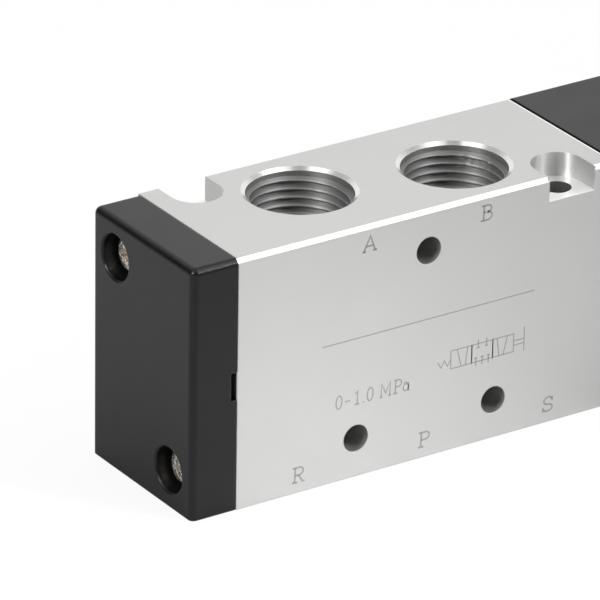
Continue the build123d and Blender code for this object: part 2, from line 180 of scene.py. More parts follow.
class StudioSettings(PropertyGroup):
    """Camera, floor and light."""

    azimuth: FloatProperty(
        name="Azimuth", description="Camera's turn about Z", default=radians(-33.83), unit="ROTATION",
    )
    elevation: FloatProperty(
        name="Elevation", description="Camera's height angle", default=radians(25.14), unit="ROTATION",
    )
    roll: FloatProperty(
        name="Roll", description="Camera's turn about its own axis",
        default=radians(0.915), unit="ROTATION",
    )
    distance: FloatProperty(
        name="Distance", description="From the camera to the body's middle",
        default=1004.91 * mm, unit="LENGTH",
    )
    slide: FloatVectorProperty(
        name="Slide", description="Camera's sideways and upward shift", size=2,
        default=(-11.07 * mm, 0.15 * mm), unit="LENGTH", precision=6,
    )
    lens: FloatProperty(name="Lens", description="Focal length in mm", default=408.9)
    floor_size: FloatProperty(
        name="Floor size", description="Side of the floor", default=8.0, unit="LENGTH",
    )
    floor_colour: colour_setting("Floor colour", "Colour of the pale floor", (0.66, 0.66, 0.66))
    sky: FloatProperty(
        name="Sky", description="Brightness of the room's light on the object", default=0.34,
    )
    key_power: FloatProperty(
        name="Key power", description="Power of the left softbox in watts", default=2.0,
    )
    spot_power: FloatProperty(
        name="Spot power", description="Power in watts of the soft spot on the floor in front",
        default=30.0,
    )


settings_groups = {
    "valve_finishes": ValveFinishes,
    "port_threads": PortThreads,
    "front_marks": FrontMarks,
    "lever_sizes": LeverSizes,
    "studio": StudioSettings,
}


# Node tree helpers

def add_node(tree, kind, inputs=None, **settings):
    """Adds a node, sets it up, and gives its inputs a value each or a link."""
    made = tree.nodes.new(kind)
    for name, value in settings.items():
        setattr(made, name, value)
    for socket, value in (inputs or {}).items():
        if isinstance(value, bpy.types.NodeSocket):
            tree.links.new(value, made.inputs[socket])
        else:
            made.inputs[socket].default_value = value
    return made


def calculate(tree, operation, *values):
    """The result of a Math node."""
    return add_node(tree, "ShaderNodeMath", dict(enumerate(values)), operation=operation).outputs[0]


def vector_result(tree, operation, *values):
    """The vector that a Vector Math node gives."""
    inputs = dict(enumerate(values))
    return add_node(tree, "ShaderNodeVectorMath", inputs, operation=operation).outputs["Vector"]


def vector_number(tree, operation, *values):
    """The number that a Vector Math node gives."""
    inputs = dict(enumerate(values))
    return add_node(tree, "ShaderNodeVectorMath", inputs, operation=operation).outputs["Value"]


def remap(tree, value, low, high, to_low, to_high, smooth=True):
    """The value, taken from one range to another and held inside it."""
    inputs = {"Value": value, "From Min": low, "From Max": high, "To Min": to_low, "To Max": to_high}
    kind = "SMOOTHSTEP" if smooth else "LINEAR"
    made = add_node(tree, "ShaderNodeMapRange", inputs, interpolation_type=kind)
    return made.outputs["Result"]


# A Mix node's share is its socket 0, its numbers are 2 and 3, and its colours are 6 and 7.

def mix_colours(tree, share, first, second):
    """A colour between two colours."""
    inputs = {0: share, 6: first, 7: second}
    return add_node(tree, "ShaderNodeMix", inputs, data_type="RGBA").outputs[2]


def mix_numbers(tree, share, first, second):
    """A number between two numbers."""
    inputs = {0: share, 2: first, 3: second}
    return add_node(tree, "ShaderNodeMix", inputs, data_type="FLOAT").outputs[0]


def rgba(colour, level=1.0):
    """A colour at a level of its brightness, with full opacity."""
    return (colour[0] * level, colour[1] * level, colour[2] * level, 1.0)


def shaded(tree, pattern, colour, spread):
    """A colour that a pattern makes a little darker and a little lighter."""
    return mix_colours(tree, pattern, rgba(colour, 1 - spread), rgba(colour, 1 + spread))


def own_point(tree):
    """Places on the object itself, in metres."""
    return add_node(tree, "ShaderNodeTexCoord").outputs["Object"]


def own_coordinates(tree):
    """X, Y and Z of places on the object itself."""
    return add_node(tree, "ShaderNodeSeparateXYZ", {0: own_point(tree)}).outputs


def spots(tree, place, size, detail=2.0):
    """A pattern of soft random spots of about one size."""
    scale = calculate(tree, "DIVIDE", 1.0, size)
    inputs = {"Vector": place, "Scale": scale, "Detail": detail}
    return add_node(tree, "ShaderNodeTexNoise", inputs).outputs[0]


def raised(tree, pattern, distance, normal=None):
    """The normal of a surface that a pattern raises by up to a distance."""
    inputs = {"Height": pattern, "Distance": distance}
    if normal is not None:
        inputs["Normal"] = normal
    return add_node(tree, "ShaderNodeBump", inputs).outputs[0]


def edges_rounded(tree, radius, samples):
    """The normal of a surface whose edges look rounded."""
    return add_node(tree, "ShaderNodeBevel", {"Radius": radius}, samples=samples).outputs[0]


def new_effect(name, inputs, outputs):
    """An empty shader node group with its sockets, and its input and output nodes."""
    tree = bpy.data.node_groups.new(name, "ShaderNodeTree")
    for socket, (kind, value) in inputs.items():
        made = tree.interface.new_socket(socket, in_out="INPUT", socket_type="NodeSocket" + kind)
        made.default_value = value
    for socket in outputs:
        tree.interface.new_socket(socket, in_out="OUTPUT", socket_type="NodeSocketFloat")
    return tree, tree.nodes.new("NodeGroupInput").outputs, tree.nodes.new("NodeGroupOutput")


def give(tree, node, **values):
    """Links values to a node's inputs."""
    for name, value in values.items():
        tree.links.new(value, node.inputs[name.replace("_", " ")])


# Shared effects

def fine_grain():
    """Fine specks, drawn out along a direction, with soft clouds under them."""
    inputs = {
        "Size": ("Float", 0.2 * mm),
        "Stretch": ("Vector", (1, 1, 1)),
        "Cloud Size": ("Float", 9 * mm),
    }
    tree, given, result = new_effect("Fine Grain", inputs, ("Specks", "Clouds"))
    point = own_point(tree)
    drawn = vector_result(tree, "DIVIDE", point, given["Stretch"])
    specks = spots(tree, drawn, given["Size"], detail=3.0)
    give(tree, result, Specks=specks, Clouds=spots(tree, point, given["Cloud Size"]))
    return tree


def round_axis(tree, given):
    """Radius and depth of a point about the group's axis."""
    offset = vector_result(tree, "SUBTRACT", own_point(tree), given["Centre"])
    depth = vector_number(tree, "DOT_PRODUCT", offset, given["Axis"])
    along = add_node(tree, "ShaderNodeVectorMath", {0: given["Axis"], "Scale": depth}, operation="SCALE")
    across = vector_result(tree, "SUBTRACT", offset, along.outputs["Vector"])
    return vector_number(tree, "LENGTH", across), depth


def turned_marks():
    """Marks of a lathe or a tap round an axis: they change with radius and depth, not with angle."""
    inputs = {
        "Centre": ("Vector", (0, 0, 0)),
        "Axis": ("Vector", (0, 0, 1)),
        "Spacing": ("Float", 0.12 * mm),
    }
    tree, given, result = new_effect("Turned Marks", inputs, ("Marks",))
    radius, depth = round_axis(tree, given)
    place = add_node(tree, "ShaderNodeCombineXYZ", {0: radius, 1: depth}).outputs[0]
    give(tree, result, Marks=spots(tree, place, given["Spacing"]))
    return tree


def hole_zone():
    """One inside a round hole, as far along its axis as it reaches, and nought outside."""
    inputs = {
        "Centre": ("Vector", (0, 0, 0)),
        "Axis": ("Vector", (0, 0, 1)),
        "Radius": ("Float", 2 * mm),
        "Reach": ("Float", 10 * mm),
    }
    tree, given, result = new_effect("Hole Zone", inputs, ("Zone",))
    radius, depth = round_axis(tree, given)
    inside = calculate(tree, "LESS_THAN", radius, given["Radius"])
    within = calculate(tree, "LESS_THAN", calculate(tree, "ABSOLUTE", depth), given["Reach"])
    give(tree, result, Zone=calculate(tree, "MULTIPLY", inside, within))
    return tree


def edge_wear():
    """One along sharp outer edges, broken up by specks."""
    unworn_match, worn_match = 0.995, 0.9
    speck_scale, speck_low, speck_high, least_wear = 1500.0, 0.35, 0.6, 0.2
    inputs = {"Width": ("Float", 0.15 * mm)}
    tree, given, result = new_effect("Edge Wear", inputs, ("Wear",))
    rounded = edges_rounded(tree, given["Width"], samples=4)
    flat = add_node(tree, "ShaderNodeNewGeometry").outputs["Normal"]
    match = vector_number(tree, "DOT_PRODUCT", rounded, flat)
    specks = add_node(tree, "ShaderNodeTexNoise", {"Vector": own_point(tree), "Scale": speck_scale})
    edge = remap(tree, match, unworn_match, worn_match, 0.0, 1.0)
    broken = remap(tree, specks.outputs[0], speck_low, speck_high, least_wear, 1.0)
    give(tree, result, Wear=calculate(tree, "MULTIPLY", edge, broken))
    return tree


effect_makers = {
    "Fine Grain": fine_grain,
    "Turned Marks": turned_marks,
    "Hole Zone": hole_zone,
    "Edge Wear": edge_wear,
}


def effect(tree, name, **inputs):
    """Places a shared effect in a material, with the material's own values."""
    group = bpy.data.node_groups.get(name) or effect_makers[name]()
    values = {socket.replace("_", " "): value for socket, value in inputs.items()}
    return add_node(tree, "ShaderNodeGroup", values, node_tree=group).outputs


# Materials

# Most of a random pattern lies between these values.
pattern_low, pattern_high = 0.3, 0.7


def new_material(name, **constants):
    """A material with a Principled shader whose constants are set on its own sockets."""
    material = bpy.data.materials.new(name)
    material.use_nodes = True
    shader = material.node_tree.nodes["Principled BSDF"]
    for socket, value in constants.items():
        shader.inputs[socket.replace("_", " ")].default_value = value
    return material, material.node_tree, shader


def vary(tree, shader, pattern, colour, spread, roughness, roughness_spread, relief):
    """Lets a pattern shade the colour and the roughness, and raise the surface a little."""
    low, high = 0.25, 0.75
    smoothest, roughest = roughness - roughness_spread, roughness + roughness_spread
    give(
        tree, shader, Base_Color=shaded(tree, pattern, colour, spread),
        Roughness=remap(tree, pattern, low, high, smoothest, roughest),
        Normal=raised(tree, pattern, relief),
    )


def grained_material(name, colour, roughness, relief, size, metallic, stretch=(1, 1, 1)):
    """A material with fine specks: plated metal, drawn wire, rubber or engraved marks."""
    colour_spread, roughness_spread = 0.05, 0.05
    material, tree, shader = new_material(name, Metallic=metallic, IOR=1.5)
    specks = effect(tree, "Fine Grain", Size=size, Stretch=stretch)["Specks"]
    vary(tree, shader, specks, colour, colour_spread, roughness, roughness_spread, relief)
    return material


def turned_material(name, colour, roughness, relief, spacing, centre, axis, metallic=1.0, spread=0.06):
    """A material with lathe marks round an axis."""
    roughness_spread = 0.06
    material, tree, shader = new_material(name, Metallic=metallic)
    marks = effect(tree, "Turned Marks", Centre=centre, Axis=axis, Spacing=spacing)["Marks"]
    vary(tree, shader, marks, colour, spread, roughness, roughness_spread, relief)
    return material


def give_material(thing, material):
    """The object shows this material alone."""
    thing.data.materials.clear()
    thing.data.materials.append(material)


def side_hole_zone(tree):
    """One inside the three holes through the body's width, and nought elsewhere."""
    slack = 0.02 * mm
    width = body_high.y - body_low.y
    zone = 0.0
    for name in ("lower_side_holes", "upper_side_hole"):
        mount = mounts[name]
        centres = [Vector(mount["pos_m"])]
        spacing = mount["dims"].get("spacing_x_mm")
        if spacing:
            centres = [centres[0] + Vector((side * spacing * mm / 2, 0, 0)) for side in (-1, 1)]
        radius = (mount["dims"].get("r_mm") or mount["dims"]["hole_r_mm"]) * mm + slack
        for centre in centres:
            hole = effect(tree, "Hole Zone", Centre=centre, Axis=mount["axis"], Radius=radius, Reach=width)
            zone = calculate(tree, "MAXIMUM", zone, hole["Zone"])
    return zone


def notch_floor_zone(tree, bolt):
    """One on the floor of a bolt notch."""
    slack = 0.05 * mm
    outward = 1 if bolt.y > 0 else -1
    place = own_coordinates(tree)
    side = calculate(tree, "SUBTRACT", place[0], bolt.x)
    beyond = calculate(tree, "SUBTRACT", place[1], bolt.y)
    beyond = calculate(tree, "MULTIPLY", beyond, outward)
    inward = calculate(tree, "MINIMUM", beyond, 0.0)
    across = add_node(tree, "ShaderNodeCombineXYZ", {0: side, 1: inward}).outputs[0]
    near = calculate(tree, "LESS_THAN", vector_number(tree, "LENGTH", across), notch_radius + slack)
    level = calculate(tree, "COMPARE", place[2], bolt.z, slack)
    return calculate(tree, "MULTIPLY", near, level)


def body_material(finishes):
    """Satin aluminium outside and cut metal in the holes and notches. Painted shade darkens the drilled
    holes; painted light brightens the milled floors and the strip beside the housing.
    """
    material, tree, shader = new_material("body_satin_aluminium")
    grain = effect(tree, "Fine Grain", Size=0.09 * mm, Stretch=(2.5, 1, 1), Cloud_Size=14 * mm)
    drilled = side_hole_zone(tree)
    milled, mill_marks = 0.0, 0.0
    for bolt in notch_bolts():
        zone = notch_floor_zone(tree, bolt)
        marks = effect(tree, "Turned Marks", Centre=bolt, Spacing=0.14 * mm)["Marks"]
        milled = calculate(tree, "MAXIMUM", milled, zone)
        mill_marks = calculate(tree, "MULTIPLY_ADD", zone, marks, mill_marks)

    cloud_spread = 0.025
    # Levels on the cut metal's colour: painted light on the milled floors, painted shade in the drilled holes.
    milled_light_level, drilled_shade_level, painted_highlight_level = 1.25, 0.75, 1.52
    clouded = shaded(tree, grain["Clouds"], finishes.aluminium, cloud_spread)
    floored = mix_colours(tree, milled, clouded, rgba(finishes.cut_aluminium, milled_light_level))
    bored = mix_colours(tree, drilled, floored, rgba(finishes.cut_aluminium, drilled_shade_level))
    # A painted highlight: the strip of the body beside the housing is brighter, like light caught on its edge.
    painted_highlight_width = 0.4 * mm
    edge = calculate(tree, "GREATER_THAN", own_coordinates(tree)[0], body_high.x - painted_highlight_width)
    colour = mix_colours(tree, edge, bored, rgba(finishes.aluminium, painted_highlight_level))

    # Cut metal scatters more light than a satin face does.
    milled_loss, drilled_loss = 0.65, 0.2
    loss = calculate(tree, "MULTIPLY", drilled, drilled_loss)
    loss = calculate(tree, "MULTIPLY_ADD", milled, milled_loss, loss)
    metallic = calculate(tree, "SUBTRACT", 1.0, loss)

    satin_spread, cut_roughness = 0.04, 0.38
    smoothest, roughest = finishes.satin - satin_spread, finishes.satin + satin_spread
    satin = remap(tree, grain["Specks"], pattern_low, pattern_high, smoothest, roughest)
    rough = mix_numbers(tree, calculate(tree, "MAXIMUM", drilled, milled), satin, cut_roughness)

    edge_radius, grain_relief, mill_relief = 0.09 * mm, 0.0035 * mm, 0.02 * mm
    softened = edges_rounded(tree, edge_radius, samples=4)
    grained = raised(tree, grain["Specks"], grain_relief, softened)
    normal = raised(tree, mill_marks, mill_relief, grained)
    give(tree, shader, Base_Color=colour, Metallic=metallic, Roughness=rough, Normal=normal)
    return material


def round_cut_metal(name, roughness, drawn_out, level, metallic, centre=(0, 0, 0), reach=0.0, crest=0.0):
    """Metal cut round an upright axis: its fine grooves draw reflections out up and down.
    Within reach of the centre's height it is smoother, and a painted highlight makes it brighter. Inside
    the crest's radius a painted highlight makes it a little brighter. The level paints shade or light into it."""
    finishes = bpy.context.scene.valve_finishes
    quarter_turn = 0.25
    far = 20 * mm
    groove_spacing, groove_relief, groove_level = 0.10 * mm, 0.003 * mm, 0.88
    rim_highlight_level, rim_roughness, crest_highlight_share = 1.1, 0.2, 0.22
    material, tree, shader = new_material(
        name, Metallic=metallic, Anisotropic=drawn_out, Anisotropic_Rotation=quarter_turn,
    )
    marks = effect(tree, "Turned Marks", Centre=centre, Spacing=groove_spacing)["Marks"]
    smooth_highlit_rim = effect(tree, "Hole Zone", Centre=centre, Radius=far, Reach=reach)["Zone"]
    crest_highlight_zone = effect(tree, "Hole Zone", Centre=centre, Radius=crest, Reach=far)["Zone"]
    dark, dull = rgba(finishes.cut_aluminium, level * groove_level), rgba(finishes.cut_aluminium, level)
    # Painted highlights: the colour is brighter near the mouth and a little brighter on the thread crests.
    highlight_colour = rgba(finishes.cut_aluminium, rim_highlight_level)
    grooved = mix_colours(tree, marks, dark, dull)
    shown = calculate(tree, "MAXIMUM", smooth_highlit_rim, calculate(tree, "MULTIPLY", crest_highlight_zone, crest_highlight_share))
    tangent = add_node(tree, "ShaderNodeTangent", direction_type="RADIAL", axis="Z")
    give(
        tree, shader, Base_Color=mix_colours(tree, shown, grooved, highlight_colour),
        Roughness=remap(tree, smooth_highlit_rim, 0.0, 1.0, roughness, rim_roughness, smooth=False),
        Normal=raised(tree, marks, groove_relief), Tangent=tangent.outputs[0],
    )
    return material


def moulding_material(finishes):
    """Black moulded plastic with a fine texture and rubbed edges."""
    material, tree, shader = new_material("black_moulded_plastic", IOR=1.45, Specular_IOR_Level=0.36)
    grain = effect(tree, "Fine Grain", Size=0.16 * mm, Cloud_Size=7 * mm)
    wear = effect(tree, "Edge Wear", Width=0.12 * mm)["Wear"]
    cloud_spread, worn_level = 0.2, 1.8
    glossier, duller = 0.02, 0.03
    clouded = shaded(tree, grain["Clouds"], finishes.moulding, cloud_spread)
    colour = mix_colours(tree, wear, clouded, rgba(finishes.moulding, worn_level))
    smoothest, roughest = finishes.moulding_sheen - glossier, finishes.moulding_sheen + duller
    rough = remap(tree, grain["Clouds"], pattern_low, pattern_high, smoothest, roughest)

    edge_radius, texture_relief = 0.34 * mm, 0.004 * mm
    softened = edges_rounded(tree, edge_radius, samples=8)
    # A small bevel where the housing meets the body.
    seam = 0.42 * mm
    rise = remap(tree, own_coordinates(tree)[0], body_high.x, body_high.x + seam, 0.0, 1.0, smooth=False)
    bevelled = raised(tree, rise, seam, softened)
    normal = raised(tree, grain["Specks"], texture_relief, bevelled)
    give(tree, shader, Base_Color=colour, Roughness=rough, Normal=normal)
    return material


# Mesh helpers

def new_object(name, mesh_in_work, material, crease=crease_angle):
    """An object from a bmesh, smooth except at its sharp edges."""
    bmesh.ops.recalc_face_normals(mesh_in_work, faces=mesh_in_work.faces)
    mesh = bpy.data.meshes.new(name)
    mesh_in_work.to_mesh(mesh)
    mesh_in_work.free()
    mesh.shade_smooth()
    mesh.set_sharp_from_angle(angle=crease)
    mesh.materials.append(material)
    made = bpy.data.objects.new(name, mesh)
    bpy.context.scene.collection.objects.link(made)
    return made


def attach(piece, body, slot, *nodes):
    """The piece rides on a body and stands for the nodes that it replaces; the slot is not used."""
    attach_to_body(piece, body)
    if nodes:
        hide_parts(*nodes)


def axis_matrix(origin, axis):
    """Takes local Z to an axis and local zero to an origin."""
    turn = Vector((0, 0, 1)).rotation_difference(Vector(axis)).to_matrix().to_4x4()
    return Matrix.Translation(origin) @ turn


def ring(work, radius_at, height, steps, place):
    """One ring of points whose radius may change with the angle."""
    points = []
    for step in range(steps):
        angle = full_turn * step / steps
        radius = radius_at(angle, height)
        points.append(work.verts.new(place @ Vector((radius * cos(angle), radius * sin(angle), height))))
    return points


def plain_rings(work, profile, steps, place):
    """Round rings of points, one for each (radius, height) of a profile."""
    return [ring(work, lambda angle, height, radius=radius: radius, height, steps, place)
            for radius, height in profile]


def join_rings(work, rings):
    """Faces between each ring and the next."""
    for first, second in zip(rings, rings[1:]):
        count = len(first)
        for step in range(count):
            following = (step + 1) % count
            work.faces.new((first[step], first[following], second[following], second[step]))


def close_rings(work, rings):
    """A solid through the rings, flat at both ends."""
    join_rings(work, rings)
    work.faces.new(rings[0])
    work.faces.new(rings[-1])


def ridge(turn):
    """Height of a thread at a share of its pitch: nought at the root, one at the crest, both cut flat."""
    slope = 1 - abs(2 * (turn % 1.0) - 1)
    root_flat, crest_flat = 0.06, 0.08
    return min(max((slope - root_flat) / (1 - root_flat - crest_flat), 0.0), 1.0)


def even_heights(low, high, spacing):
    """Heights from low to high at about the given spacing."""
    count = max(1, round((high - low) / spacing))
    return [low + (high - low) * step / count for step in range(count + 1)]


# Port threads

def chips(angle, height):
    """Torn metal in one port: small lumps on the right side, from the land down."""
    lump_height = 0.5 * mm
    middle_angle, side_start = radians(30), 0.35
    middle_depth, half_band = 2.6 * mm, 2.8 * mm
    grains_round, grain_size, grain_seed, grain_start = 14.0, 0.3 * mm, 3.7, 0.05
    flank = max(0.0, cos(angle - middle_angle) - side_start)
    level = max(0.0, 1 - abs(height + middle_depth) / half_band)
    grain = noise.noise(Vector((angle * grains_round, height / grain_size, grain_seed)))
    return lump_height * flank * level * max(0.0, grain - grain_start)


def port_mouth(name):
    """A port's centre on the body's face, and its plain wall's radius."""
    mount = mounts[name]
    face = body_high.z if mount["axis"][2] > 0 else body_low.z
    return Vector((*mount["pos_m"][:2], face)), mount["dims"]["r_mm"] * mm


def thread_sleeve(name, mount_name, threads, material):
    """The mouth and the thread of one port: a sleeve that lines the port's plain wall."""
    mount = mounts[mount_name]
    centre, wall = port_mouth(mount_name)
    length = mount["dims"]["length_mm"] * mm
    rim = wall + threads.mouth
    land = rim - threads.bevel_width
    root = wall - threads.skin
    bottom = -threads.mouth - length
    runout_turns, sleeve_crease = 1.5, radians(40)

    def inner(angle, height):
        """Radius of the sleeve's inside."""
        torn = chips(angle, height) if mount_name == "port_b" else 0.0
        if height > -threads.land_depth:
            return land - torn
        share = ridge(height / threads.pitch - angle / full_turn)
        runout = min(1.0, (height - bottom) / (runout_turns * threads.pitch))
        share = 1 - (1 - share) * runout
        return root - threads.depth * share + threads.taper * height - torn

    step_rise, land_spacing = 0.02 * mm, 0.2 * mm
    heights = even_heights(bottom, -threads.land_depth, threads.pitch / threads.rows)
    heights += even_heights(-threads.land_depth + step_rise, -threads.bevel_depth, land_spacing)
    rim_gap, rim_drop, hidden = 0.01 * mm, 0.004 * mm, 0.03 * mm
    outside = [(rim - rim_gap, -rim_drop), (rim + hidden, -hidden), (wall + hidden, bottom)]
    work = bmesh.new()
    place = axis_matrix(centre, mount["axis"])
    rings = [ring(work, inner, height, threads.steps, place) for height in heights]
    rings += plain_rings(work, outside, threads.steps, place)
    join_rings(work, rings + rings[:1])
    attach(new_object(name, work, material, sleeve_crease), "body", "body_aluminium")


class VALVE_OT_cut_threads(Operator):
    """Cut the taper pipe threads of the five ports"""

    bl_idname = "valve.cut_threads"
    bl_label = "Cut Port Threads"

    def execute(self, context):
        threads = context.scene.port_threads
        crest_highlight_start = 0.9 * threads.depth
        for name in port_names:
            centre, wall = port_mouth(name)
            crest = wall - threads.skin - crest_highlight_start - threads.taper * threads.land_depth
            # The low level is painted shade: it darkens the tapped metal inside the ports.
            material = round_cut_metal(
                name + "_cut_thread", threads.roughness, drawn_out=0.75, level=0.42, metallic=0.74,
                centre=centre, reach=threads.bevel_depth, crest=crest,
            )
            thread_sleeve("thread_" + name, name, threads, material)
        return {"FINISHED"}


# Front marks

def arc(x, y, width, height, start, end, steps=10):
    """Points of an ellipse's arc, angles in degrees."""
    return [
        (x + width * cos(radians(start + (end - start) * step / steps)),
         y + height * sin(radians(start + (end - start) * step / steps)))
        for step in range(steps + 1)
    ]


# Each letter is a list of strokes in a cell one unit high.
letter_p = [
    [(0.16, 0), (0.16, 1)],
    [(0.0, 1), (0.40, 1)] + arc(0.40, 0.74, 0.24, 0.26, 90, -90) + [(0.16, 0.48)],
    [(0.0, 0), (0.34, 0)],
]
letter_strokes = {
    "A": [[(0.02, 0), (0.36, 1), (0.70, 0)], [(0.15, 0.34), (0.57, 0.34)], [(-0.06, 0), (0.14, 0)],
          [(0.56, 0), (0.80, 0)]],
    "B": [[(0.16, 0), (0.16, 1)],
          [(0.0, 1), (0.38, 1)] + arc(0.38, 0.77, 0.22, 0.23, 90, -90) + [(0.16, 0.54)],
          [(0.38, 0.54)] + arc(0.40, 0.27, 0.26, 0.27, 90, -90) + [(0.0, 0)]],
    "P": letter_p,
    "R": letter_p + [[(0.38, 0.48), (0.62, 0.0), (0.76, 0.0)]],
    "S": [arc(0.34, 0.745, 0.26, 0.255, 25, 270) + arc(0.34, 0.255, 0.28, 0.235, 90, -155),
          [(0.58, 0.72), (0.58, 1.0)], [(0.06, 0.0), (0.06, 0.30)]],
    "0": [arc(0.32, 0.5, 0.24, 0.5, 90, 450, 20)],
    "1": [[(0.14, 0.80), (0.34, 1), (0.34, 0)], [(0.14, 0), (0.54, 0)]],
    ".": [[(0.10, 0.0), (0.10, 0.10)]],
    "-": [[(0.06, 0.42), (0.50, 0.42)]],
    "M": [[(0.06, 0), (0.06, 1), (0.42, 0.25), (0.78, 1), (0.78, 0)], [(-0.06, 0), (0.18, 0)],
          [(0.66, 0), (0.90, 0)]],
    "a": [arc(0.28, 0.26, 0.22, 0.26, 0, 360, 14),
          [(0.08, 0.58), (0.28, 0.66), (0.50, 0.52), (0.50, 0), (0.60, 0)]],
    " ": [],
}
letter_advance = {"M": 1.08, ".": 0.32, " ": 0.45}
usual_advance = 0.76
letter_slant = 0.05


def plate(work, points, width, face, back):
    """A closed plate along a line of (x, z) points, as wide as a stroke."""
    same_place, sharpest_corner = 1e-9, 0.5
    sides = []
    closed = (Vector(points[0]) - Vector(points[-1])).length < same_place
    line = [Vector(point) for point in (points[:-1] if closed else points)]
    for number, point in enumerate(line):
        before = line[number - 1] if closed or number else point
        after = line[(number + 1) % len(line)] if closed or number + 1 < len(line) else point
        arriving = (point - before).normalized() if point != before else (after - point).normalized()
        leaving = (after - point).normalized() if point != after else arriving
        normal = Vector((-(arriving + leaving).y, (arriving + leaving).x)).normalized()
        reach = width / 2 / max(sharpest_corner, normal.dot(Vector((-leaving.y, leaving.x))))
        corners = [point + normal * reach, point - normal * reach]
        sides.append([
            work.verts.new((corner.x, depth, corner.y)) for depth in (face, back) for corner in corners
        ])
    pairs = list(zip(sides, sides[1:]))
    if closed:
        pairs.append((sides[-1], sides[0]))
    for first, second in pairs:
        for low, high in ((0, 1), (1, 3), (3, 2), (2, 0)):
            work.faces.new((first[low], first[high], second[high], second[low]))
    if not closed:
        for end in (sides[0], sides[-1]):
            work.faces.new((end[0], end[1], end[3], end[2]))


def engrave(name, lines, width, marks, material):
    """One mark on the front, made of lines."""
    work = bmesh.new()
    for line in lines:
        plate(work, line, width, body_low.y - marks.proud, body_low.y + marks.sunk)
    attach(new_object(name, work, material), "body", "body_aluminium")


def text_lines(text, x, z, height, stretch=1.0):
    """The strokes of a text, from its lower left corner."""
    lines = []
    for character in text:
        for stroke in letter_strokes[character]:
            lines.append([
                (x + (px * stretch + letter_slant * py) * height, z + py * height) for px, py in stroke
            ])
        x += letter_advance.get(character, usual_advance) * height
    return lines


def symbol_lines(x, z, cell, height):
    """A generic five port, three position valve symbol: a spring, three boxes and a hand lever."""
    boxes = [x + cell * number for number in range(3)]
    lines = [
        [(left, z), (left + cell, z), (left + cell, z + height), (left, z + height), (left, z)]
        for left in boxes
    ]

    # The middle position shuts every port: a stub with a bar at each.
    top_ports, low_ports = (0.3, 0.7), (0.2, 0.5, 0.8)
    stub, half_bar = 0.22 * height, 0.08 * cell
    stubs = [(boxes[1] + share * cell, z + height + stub, z + height - stub) for share in top_ports]
    stubs += [(boxes[1] + share * cell, z - stub, z + stub) for share in low_ports]
    for at, outer, inner in stubs:
        lines += [[(at, outer), (at, inner)], [(at - half_bar, inner), (at + half_bar, inner)]]

    # The outer positions join the ports in pairs, given as the shares of the box at its foot and its top.
    left_paths, right_paths = ((0.5, 0.3), (0.7, 0.8)), ((0.5, 0.7), (0.3, 0.2))
    for left, paths in ((boxes[0], left_paths), (boxes[2], right_paths)):
        lines += [[(left + low * cell, z), (left + high * cell, z + height)] for low, high in paths]

    spring_length, spring_low, spring_high, spring_turns = 0.62 * cell, 0.2 * height, 0.55 * height, 4
    lines.append([
        (x - spring_length + spring_length * step / spring_turns,
         z + (spring_low if step % 2 else spring_high))
        for step in range(spring_turns + 1)
    ])

    end, rod = boxes[2] + cell, 0.5 * cell
    rod_low, rod_high, lever_low, lever_high = 0.35 * height, 0.60 * height, -0.1 * height, 1.25 * height
    lines += [[(end, z + level), (end + rod, z + level)] for level in (rod_low, rod_high)]
    lines.append([(end + rod, z + lever_low), (end + rod, z + lever_high)])
    return lines


def notch_line(bolt, radius, steps):
    """Points round a notch's wall, from the body's side face round the bolt and back to the face."""
    side = 1 if bolt.y > 0 else -1
    mouth_y = body_high.y if bolt.y > 0 else body_low.y
    points = [(bolt.x + radius, mouth_y)]
    points += [
        (bolt.x + radius * cos(pi * step / steps), bolt.y - side * radius * sin(pi * step / steps))
        for step in range(steps + 1)
    ]
    return points + [(bolt.x - radius, mouth_y)]


class VALVE_OT_line_notches(Operator):
    """Line the walls of the two bolt notches with their milled finish"""

    bl_idname = "valve.line_notches"
    bl_label = "Line Notches"

    def execute(self, context):
        proud, hidden, edge_gap = 0.012 * mm, 0.03 * mm, 0.008 * mm
        steps = 40
        # The level above one is painted light: it brightens the milled notch walls.
        milled = round_cut_metal(
            "milled_notch_wall", roughness=0.4, drawn_out=0.92, level=1.1, metallic=0.87,
        )
        for name, bolt in zip(("back", "front"), notch_bolts()):
            work = bmesh.new()
            low, high = bolt.z + edge_gap, body_high.z - edge_gap
            shown = notch_line(bolt, notch_radius - proud, steps)
            buried = notch_line(bolt, notch_radius + hidden, steps)
            sections = [
                [work.verts.new(spot) for spot in ((*near, low), (*near, high), (*far, high), (*far, low))]
                for near, far in zip(shown, buried)
            ]
            close_rings(work, sections)
            attach(new_object(name + "_notch_wall", work, milled), "body", "body_aluminium")
        return {"FINISHED"}


